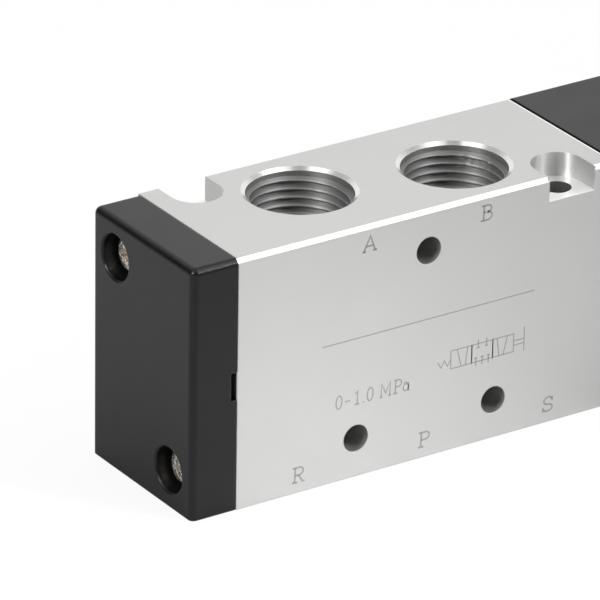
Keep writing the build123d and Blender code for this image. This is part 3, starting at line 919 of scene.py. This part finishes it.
class VALVE_OT_mark_front(Operator):
    """Engrave the port letters, the rule, the flow symbol and a pressure range"""

    bl_idname = "valve.mark_front"
    bl_label = "Mark Front"

    def execute(self, context):
        marks = context.scene.front_marks
        material = grained_material(
            "engraved_mark", context.scene.valve_finishes.mark, roughness=0.7, relief=0.004 * mm,
            size=0.08 * mm, metallic=0.3,
        )
        top_letters = body_high.z - 4.05 * mm
        low_letters = body_low.z + 1.8 * mm
        # Each letter: its port, how far to the port's side it starts, and its level.
        letters = {
            "A": ("port_a", 0.7 * mm, top_letters),
            "B": ("port_b", -3.1 * mm, top_letters),
            "R": ("port_r", -1.1 * mm, low_letters),
            "P": ("port_p", -1.1 * mm, low_letters),
            "S": ("port_s", -1.0 * mm, low_letters),
        }
        for letter, (port, shift, level) in letters.items():
            x = mounts[port]["pos_m"][0] + shift
            lines = text_lines(letter, x, level, marks.letter_height, marks.letter_width)
            engrave("letter_" + letter.lower(), lines, marks.letter_line, marks, material)

        rule_z, rule_start, rule_end = 22.45 * mm, -18.3 * mm, 19.1 * mm
        rule = [[(rule_start, rule_z), (rule_end, rule_z)]]
        engrave("rule_line", rule, marks.thin_line, marks, material)

        symbol_x, symbol_z, symbol_cell, symbol_height = 4.4 * mm, 13.3 * mm, 3.75 * mm, 2.9 * mm
        symbol = symbol_lines(symbol_x, symbol_z, symbol_cell, symbol_height)
        engrave("flow_symbol", symbol, marks.thin_line, marks, material)

        rating_x, rating_z, rating_line = -16.0 * mm, 11.8 * mm, 0.75 * marks.letter_line
        rating = text_lines("0-1.0 MPa", rating_x, rating_z, marks.rating_height)
        engrave("pressure_range", rating, rating_line, marks, material)
        return {"FINISHED"}


# Screws

screw_pitch = 0.5 * mm
screw_thread_length = 7 * mm
screw_head_height = 1.75 * mm


def cross_recess(place, top):
    """The tool that cuts a screw's cross recess: two crossing wedges."""
    work = bmesh.new()
    half_long, half_wide, depth = 1.75 * mm, 0.45 * mm, 1.3 * mm
    long_taper, wide_taper = 0.45, 0.78
    for turn in (0, pi / 2):
        rotation = Matrix.Rotation(turn, 4, "Z")
        for vertex in bmesh.ops.create_cube(work, size=1.0)["verts"]:
            x, y = vertex.co.x * 2 * half_long, vertex.co.y * 2 * half_wide
            if vertex.co.z < 0:
                spot = Vector((x * long_taper, y * wide_taper, top - depth))
            else:
                spot = Vector((x, y, top + depth))
            vertex.co = place @ (rotation @ spot)
    return work


def carve(piece, tool_work):
    """Cuts a tool's shape out of a piece for good."""
    tool = new_object("tool", tool_work, piece.data.materials[0])
    cut = piece.modifiers.new("recess", "BOOLEAN")
    cut.operation = "DIFFERENCE"
    cut.solver = "EXACT"
    cut.object = tool
    cut.use_self = True
    bpy.context.view_layer.update()
    carved = bpy.data.meshes.new_from_object(piece.evaluated_get(bpy.context.evaluated_depsgraph_get()))
    piece.modifiers.clear()
    old, piece.data = piece.data, carved
    bpy.data.meshes.remove(old)
    bpy.data.objects.remove(tool)
    piece.data.shade_smooth()
    piece.data.set_sharp_from_angle(angle=crease_angle)


def screw_shank(angle, height):
    """Radius of a screw's shank: threaded from its tip, and plain above."""
    radius, thread_depth = 1.48 * mm, 0.28 * mm
    if height > screw_thread_length:
        return radius
    lead = min(1.0, height / screw_pitch)
    return radius - thread_depth * (1 - ridge(height / screw_pitch - angle / full_turn) * lead)


def screw_head(seat):
    """Outline of a screw's head from its seat up: a straight rim and a low dome."""
    radius, dome, fullness = 2.7 * mm, 0.75 * mm, 0.55
    dome_foot = seat + screw_head_height - dome
    angles = [radians(angle) for angle in range(0, 86, 8)]
    return [(radius, seat)] + [
        (radius * cos(angle) ** fullness, dome_foot + dome * sin(angle)) for angle in angles
    ]


def screw_pair(name, node, outward, material, recess_turns):
    """Two cross recess screws that stand for a node's two plain ones."""
    low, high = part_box(node)
    plain_head_radius, plain_head_height = 2.75 * mm, 1.8 * mm
    inside_head = 0.05 * mm
    reach_y = (high.y - low.y) / 2 - plain_head_radius
    reach_z = (high.z - low.z) / 2 - plain_head_radius
    tip_x, head_x = (high.x, low.x) if outward < 0 else (low.x, high.x)
    seat = abs(head_x - tip_x) - plain_head_height
    shank_steps, shank_rows, head_steps = 28, 6, 48
    heights = even_heights(0.0, screw_thread_length, screw_pitch / shank_rows) + [seat + inside_head]
    pair = []
    for side, recess_turn in zip((-1, 1), recess_turns):
        z = body_middle.z - outward * side * reach_z
        place = axis_matrix(Vector((tip_x, side * reach_y, z)), (outward, 0, 0))
        work = bmesh.new()
        close_rings(work, [ring(work, screw_shank, height, shank_steps, place) for height in heights])
        close_rings(work, plain_rings(work, screw_head(seat), head_steps, place))
        screw = new_object(name + ("_low" if z < body_middle.z else "_high"), work, material)
        spin = Matrix.Rotation(recess_turn, 4, "Z")
        carve(screw, cross_recess(place @ spin, seat + screw_head_height))
        pair.append(screw)
    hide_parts(node)
    for screw in pair:
        attach(screw, "body", "screw_steel")


class VALVE_OT_make_screws(Operator):
    """Make the cap's and the housing's cross recess screws"""

    bl_idname = "valve.make_screws"
    bl_label = "Make Screws"

    def execute(self, context):
        nickel = grained_material(
            "nickel_plate", context.scene.valve_finishes.nickel, roughness=0.22, relief=0.3 * mm,
            size=0.55 * mm, metallic=0.92,
        )
        screw_pair("cap_screw", "end_cap_screws", -1, nickel, (radians(20), radians(50)))
        screw_pair("housing_screw", "housing_screws", 1, nickel, (radians(35), radians(5)))
        return {"FINISHED"}


# Springs

def coil_points(low_x, high_x, radius, wire, turns, height):
    """A compression spring's line, with a closed turn at each end."""
    steps = 24
    closed = 1.0
    points = []
    for step in range(int(turns * steps) + 1):
        turn = step / steps
        share = (min(max(turn, closed), turns - closed) - closed) / (turns - 2 * closed)
        first_rise = 2 * wire * min(turn, closed)
        last_rise = 2 * wire * max(0.0, turn - (turns - closed))
        free = (high_x - low_x) - 2 * wire - 4 * wire * closed
        x = low_x + wire + first_rise + share * free + last_rise
        angle = full_turn * turn
        points.append(Vector((x, radius * cos(angle), height + radius * sin(angle))))
    return points


def wire_along(work, points, radius, sides):
    """A closed round wire along points of a coil round X."""
    rings = []
    for number, point in enumerate(points):
        ahead = points[min(number + 1, len(points) - 1)] - points[max(number - 1, 0)]
        axis_point = Vector((point.x, 0, body_middle.z))
        outward = (point - axis_point).normalized()
        tangent = ahead.normalized()
        outward = (outward - tangent * outward.dot(tangent)).normalized()
        across = tangent.cross(outward)
        rings.append([
            work.verts.new(point + radius * (cos(angle) * outward + sin(angle) * across))
            for angle in (full_turn * side / sides for side in range(sides))
        ])
    close_rings(work, rings)


class VALVE_OT_wind_springs(Operator):
    """Wind the two centring springs"""

    bl_idname = "valve.wind_springs"
    bl_label = "Wind Springs"

    def execute(self, context):
        wire_steel = grained_material(
            "drawn_wire", context.scene.valve_finishes.steel, roughness=0.3, relief=0.002 * mm,
            size=0.1 * mm, metallic=1.0, stretch=(1, 3, 3),
        )
        turns, wire, wire_sides, inset = 5.5, 0.34 * mm, 10, 0.4 * mm
        for node, first, second in (("left_spring", "body", "spool"), ("right_spring", "spool", "body")):
            low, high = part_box(node)
            radius = (high.z - low.z) / 2 - inset
            work = bmesh.new()
            points = coil_points(low.x, high.x, radius, wire, turns, body_middle.z)
            wire_along(work, points, wire, wire_sides)
            spring = new_object(node + "_coil", work, wire_steel)
            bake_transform(spring)
            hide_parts(node)
        return {"FINISHED"}


# Lever

def thread_rod(sizes, material):
    """The lever's rod, with thread above the nut and below the grip, and plain between."""
    low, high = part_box("lever_rod")
    radius = (high.x - low.x) / 2
    low_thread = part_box("lock_nut")[1].z + sizes.thread_show
    high_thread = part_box("grip")[0].z - sizes.thread_show / 2
    pitch = sizes.rod_pitch

    def rod_radius(angle, height):
        """Radius of the rod, threaded or plain."""
        z = low.z + height
        inside = max(min(1.0, (low_thread - z) / pitch), min(1.0, (z - high_thread) / pitch), 0.0)
        lead = min(1.0, height / pitch, (high.z - z) / pitch)
        crest = ridge(height / pitch - angle / full_turn)
        return radius - sizes.rod_depth * inside * (1 - crest * lead)

    steps, rows = 48, 8
    heights = even_heights(0.0, low_thread - low.z, pitch / rows)
    heights += even_heights(high_thread - low.z, high.z - low.z, pitch / rows)
    work = bmesh.new()
    place = axis_matrix(Vector((pivot.x, 0, low.z)), (0, 0, 1))
    close_rings(work, [ring(work, rod_radius, height, steps, place) for height in heights])
    attach(new_object("threaded_rod", work, material), "lever", "rod_steel", "lever_rod")


def phenolic_material():
    """Black phenolic with a thin polish, a little uneven."""
    material, tree, shader = new_material(
        "polished_phenolic", IOR=1.55, Base_Color=(0.012, 0.012, 0.012, 1), Coat_Weight=0.3,
        Coat_Roughness=0.06,
    )
    smoothest, roughest, wave_relief = 0.16, 0.24, 0.02 * mm
    grain = effect(tree, "Fine Grain", Size=1.2 * mm, Cloud_Size=6 * mm)
    shine = remap(tree, grain["Specks"], pattern_low, pattern_high, smoothest, roughest)
    give(tree, shader, Roughness=shine, Normal=raised(tree, grain["Clouds"], wave_relief))
    return material


def turn_grip(material):
    """The grip: a rounded foot round its insert, a side that swells upwards, and a domed crown."""
    low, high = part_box("grip")
    bore, bore_high = 4.22 * mm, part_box("grip_insert")[1].z
    slim_radius, full_radius = 5.55 * mm, (high.x - low.x) / 2 - 0.35 * mm
    foot_edge, crown_height, tip_radius = 0.8 * mm, 6.4 * mm, 0.4 * mm
    foot_z, widest_z = low.z + foot_edge, high.z - crown_height
    foot_angles = [radians(angle) for angle in range(15, 91, 15)]
    crown_angles = [radians(angle) for angle in range(0, 88, 8)]
    profile = [(bore, bore_high), (bore, low.z), (slim_radius - foot_edge, low.z)]
    profile += [
        (slim_radius - foot_edge + foot_edge * sin(angle), foot_z - foot_edge * cos(angle))
        for angle in foot_angles
    ]
    side_steps, bulge = 12, 0.25
    for step in range(1, side_steps):
        share = step / side_steps
        eased = share * share * (3 - 2 * share)
        bend = bulge * eased + (1 - bulge) * share
        profile.append((
            slim_radius + (full_radius - slim_radius) * bend, foot_z + (widest_z - foot_z) * share,
        ))
    crown_fullness = 0.9
    profile += [
        (full_radius * cos(angle) ** crown_fullness, widest_z + crown_height * sin(angle))
        for angle in crown_angles
    ]
    profile.append((tip_radius, high.z))
    steps = 72
    work = bmesh.new()
    place = axis_matrix(Vector((pivot.x, 0, 0)), (0, 0, 1))
    close_rings(work, plain_rings(work, profile, steps, place))
    attach(new_object("polished_grip", work, material), "lever", "grip_plastic", "grip")


class VALVE_OT_make_lever(Operator):
    """Make the threaded rod and the grip, and finish the hub, the nut, the pin and the insert"""

    bl_idname = "valve.make_lever"
    bl_label = "Make Lever"

    def execute(self, context):
        finishes = context.scene.valve_finishes
        nodes = frame["nodes"]
        across, upright, rod_foot = (0, 1, 0), (0, 0, 1), (pivot.x, 0, 0)
        steel = turned_material(
            "hub_turned_steel", finishes.steel, roughness=0.3, relief=0.004 * mm, spacing=0.18 * mm,
            centre=pivot, axis=across,
        )
        pin = turned_material(
            "ground_pin", finishes.steel, roughness=0.2, relief=0.002 * mm, spacing=0.08 * mm,
            centre=pivot, axis=across,
        )
        plated = turned_material(
            "plated_rod", (0.68, 0.67, 0.65), roughness=0.2, relief=0.002 * mm, spacing=0.2 * mm,
            centre=rod_foot, axis=upright, spread=0.04,
        )
        brass = turned_material(
            "turned_brass", finishes.brass, roughness=0.26, relief=0.004 * mm, spacing=0.15 * mm,
            centre=rod_foot, axis=upright,
        )
        give_material(nodes["lever_hub"], steel)
        give_material(nodes["pivot_pin"], pin)
        give_material(nodes["lock_nut"], plated)
        give_material(nodes["grip_insert"], brass)
        thread_rod(context.scene.lever_sizes, plated)
        turn_grip(phenolic_material())
        return {"FINISHED"}


# CAD pieces that keep their shape

def smooth_node(node):
    """Smooth shading for a node's round faces, with its sharp edges kept."""
    weld_gap, sharp_angle, flat_weight = 0.0005 * mm, radians(28), 100
    weld = node.modifiers.new("weld", "WELD")
    weld.merge_threshold = weld_gap
    split = node.modifiers.new("sharp_edges", "EDGE_SPLIT")
    split.split_angle = sharp_angle
    flats = node.modifiers.new("flat_faces", "WEIGHTED_NORMAL")
    flats.weight = flat_weight
    node.data.shade_smooth()


class VALVE_OT_finish_pieces(Operator):
    """Finish the body, the cap, the housing, the spool, its seals and the guide"""

    bl_idname = "valve.finish_pieces"
    bl_label = "Finish Pieces"

    def execute(self, context):
        finishes = context.scene.valve_finishes
        nodes = frame["nodes"]
        give_material(nodes["valve_body"], body_material(finishes))
        moulding = moulding_material(finishes)
        give_material(nodes["end_cap"], moulding)
        give_material(nodes["lever_housing"], moulding)
        bore_centre, along = (0, 0, body_middle.z), (1, 0, 0)
        spool_level = 0.85
        spool_colour = [part * spool_level for part in finishes.aluminium]
        turned = turned_material(
            "spool_turned", spool_colour, roughness=0.28, relief=0.003 * mm, spacing=0.15 * mm,
            centre=bore_centre, axis=along,
        )
        give_material(nodes["spool"], turned)
        rubber = grained_material(
            "seal_rubber", (0.025, 0.025, 0.025), roughness=0.6, relief=0.004 * mm, size=0.2 * mm,
            metallic=0.0,
        )
        for name, node in nodes.items():
            if name.startswith("spool_seal"):
                give_material(node, rubber)
        guide = turned_material(
            "guide_acetal", (0.80, 0.79, 0.74), roughness=0.45, relief=0.004 * mm, spacing=0.2 * mm,
            centre=bore_centre, axis=along, metallic=0.0, spread=0.04,
        )
        give_material(nodes["stem_guide"], guide)
        for node in nodes.values():
            smooth_node(node)
        return {"FINISHED"}


# Studio

def make_camera(studio):
    """The camera at the photograph's angle."""
    turn, rise, roll = studio.azimuth, studio.elevation, studio.roll
    back = Vector((sin(turn) * cos(rise), -cos(turn) * cos(rise), sin(rise)))
    right = Vector((cos(turn), sin(turn), 0))
    up = back.cross(right)
    side = cos(roll) * right + sin(roll) * up
    top = cos(roll) * up - sin(roll) * right
    data = bpy.data.cameras.new("camera")
    data.lens = studio.lens
    data.sensor_width = 36
    data.clip_start, data.clip_end = 0.01, 100
    camera = bpy.data.objects.new("camera", data)
    aim = Vector((0, 0, body_middle.z))
    spot = aim + side * studio.slide[0] + top * studio.slide[1] + back * studio.distance
    camera.matrix_world = Matrix.Translation(spot) @ Matrix((side, top, back)).transposed().to_4x4()
    bpy.context.scene.collection.objects.link(camera)
    bpy.context.scene.camera = camera


def make_floor(studio):
    """A pale floor that the camera sees as white, with a faint shadow."""
    speckle_scale, speckle_spread = 40.0, 0.02
    white_strength, white_share, below = 1.04, 0.87, 0.02 * mm
    material, tree, shader = new_material("pale_floor", Roughness=0.9, Specular_IOR_Level=0.1)
    speckle = add_node(tree, "ShaderNodeTexNoise", {"Vector": own_point(tree), "Scale": speckle_scale})
    give(tree, shader, Base_Color=shaded(tree, speckle.outputs[0], studio.floor_colour, speckle_spread))
    white = add_node(tree, "ShaderNodeEmission", {"Color": (1, 1, 1, 1), "Strength": white_strength})
    camera_ray = add_node(tree, "ShaderNodeLightPath").outputs["Is Camera Ray"]
    share = calculate(tree, "MULTIPLY", camera_ray, white_share)
    mixed = add_node(tree, "ShaderNodeMixShader", {0: share, 1: shader.outputs[0], 2: white.outputs[0]})
    give(tree, tree.nodes["Material Output"], Surface=mixed.outputs[0])
    work = bmesh.new()
    bmesh.ops.create_grid(work, x_segments=1, y_segments=1, size=studio.floor_size / 2)
    floor_object = new_object("floor", work, material)
    floor_object.location = (0, 0, body_low.z - below)


def direction_mask(tree, direction, centre, inner, outer):
    """One round a direction as far as the inner angle in degrees, nought past the outer, eased between."""
    match = vector_number(tree, "DOT_PRODUCT", direction, Vector(centre).normalized())
    return remap(tree, match, cos(radians(outer)), cos(radians(inner)), 0.0, 1.0)


def make_world(studio):
    """A studio room: a white backdrop, softboxes, and darker gaps between them."""
    world = bpy.data.worlds.new("studio")
    bpy.context.scene.world = world
    world.use_nodes = True
    tree = world.node_tree
    background = tree.nodes["Background"]
    direction = add_node(tree, "ShaderNodeTexCoord").outputs["Generated"]
    behind_valve, backdrop_full, backdrop_gone = (0.504, 0.752, 0.425), 22, 48
    backdrop = direction_mask(tree, direction, behind_valve, backdrop_full, backdrop_gone)
    level = remap(tree, backdrop, 0.0, 1.0, studio.sky, 1.0, smooth=False)
    # Each patch: its direction, the angles at which it is full and gone, and what it adds to the room.
    front_right_softbox = ((0.55, -0.42, 0.72), 18, 30, 2.4)
    upper_left_panel = ((-0.52, 0.05, 0.85), 19, 24, 1.0)
    ceiling_light = ((0, 0, 1), 20, 32, 0.7)
    ceiling_gap = ((-0.05, -0.08, 1), 7, 12, -0.95)
    back_left_gap = ((-0.62, 0.752, 0.224), 14, 26, -0.34)
    camera_side_gap = ((-0.50, -0.62, 0.60), 25, 38, -0.28)
    for centre, inner, outer, change in (
        front_right_softbox, upper_left_panel, ceiling_light, ceiling_gap, back_left_gap, camera_side_gap,
    ):
        patch = direction_mask(tree, direction, centre, inner, outer)
        level = calculate(tree, "MULTIPLY_ADD", patch, change, level)
    level = calculate(tree, "MAXIMUM", level, 0.0)
    # The camera and glass see white all round, and metal sees it where the backdrop stands.
    rays = add_node(tree, "ShaderNodeLightPath").outputs
    seen = calculate(tree, "MAXIMUM", rays["Is Camera Ray"], rays["Is Transmission Ray"])
    mirrored = calculate(tree, "MULTIPLY", rays["Is Glossy Ray"], backdrop)
    seen = calculate(tree, "MAXIMUM", seen, mirrored)
    give(tree, background, Strength=mix_numbers(tree, seen, level, 1.0))
    background.inputs["Color"].default_value = (1, 1, 1, 1)


def add_lamp(name, kind, spot, aim, power, **settings):
    """A lamp at a spot, aimed at a point."""
    data = bpy.data.lights.new(name, kind)
    data.energy = power
    for setting, value in settings.items():
        setattr(data, setting, value)
    lamp = bpy.data.objects.new(name, data)
    lamp.location = spot
    lamp.rotation_mode = "QUATERNION"
    lamp.rotation_quaternion = (spot - aim).to_track_quat("Z", "Y")
    bpy.context.scene.collection.objects.link(lamp)


class VALVE_OT_set_stage(Operator):
    """Set up the camera, the pale floor and the soft light"""

    bl_idname = "valve.set_stage"
    bl_label = "Set Stage"

    def execute(self, context):
        studio = context.scene.studio
        make_camera(studio)
        make_floor(studio)
        make_world(studio)
        key_place = body_middle + Vector((-0.58, -0.13, 0.37))
        lit_floor = Vector((-0.003, -0.050, body_low.z))
        spot_place = lit_floor + Vector((0.350, -0.523, 0.408))
        add_lamp("left_softbox", "AREA", key_place, body_middle, studio.key_power, size=0.07)
        add_lamp(
            "floor_spot", "SPOT", spot_place, lit_floor, studio.spot_power,
            spot_size=radians(7.4), spot_blend=0.9, shadow_soft_size=0.04,
        )
        context.scene.view_settings.view_transform = "Standard"
        return {"FINISHED"}


class VALVE_PT_panel(Panel):
    """Lists the valve's settings and the steps that build it"""

    bl_label = "Hand Lever Air Valve"
    bl_idname = "VALVE_PT_panel"
    bl_space_type = "VIEW_3D"
    bl_region_type = "UI"
    bl_category = "Valve"

    def draw(self, context):
        for name, group in settings_groups.items():
            box = self.layout.box()
            box.label(text=group.__doc__)
            for setting in group.__annotations__:
                box.prop(getattr(context.scene, name), setting)
        for step in build_steps:
            self.layout.operator(step.bl_idname)


build_steps = (
    VALVE_OT_finish_pieces,
    VALVE_OT_cut_threads,
    VALVE_OT_line_notches,
    VALVE_OT_mark_front,
    VALVE_OT_make_screws,
    VALVE_OT_wind_springs,
    VALVE_OT_make_lever,
    VALVE_OT_set_stage,
)


def register():
    """Registers the settings, the steps and the panel."""
    for group in settings_groups.values():
        bpy.utils.register_class(group)
    for name, group in settings_groups.items():
        setattr(bpy.types.Scene, name, PointerProperty(type=group))
    for step in build_steps:
        bpy.utils.register_class(step)
    bpy.utils.register_class(VALVE_PT_panel)


def unregister():
    """Takes away what register added, in the opposite order."""
    bpy.utils.unregister_class(VALVE_PT_panel)
    for step in reversed(build_steps):
        bpy.utils.unregister_class(step)
    for name, group in settings_groups.items():
        delattr(bpy.types.Scene, name)
        bpy.utils.unregister_class(group)


def main():
    """Builds the valve by its steps."""
    register()
    for step in build_steps:
        family, action = step.bl_idname.split(".")
        getattr(getattr(bpy.ops, family), action)()
    bpy.context.view_layer.update()


if __name__ == "__main__":
    main()
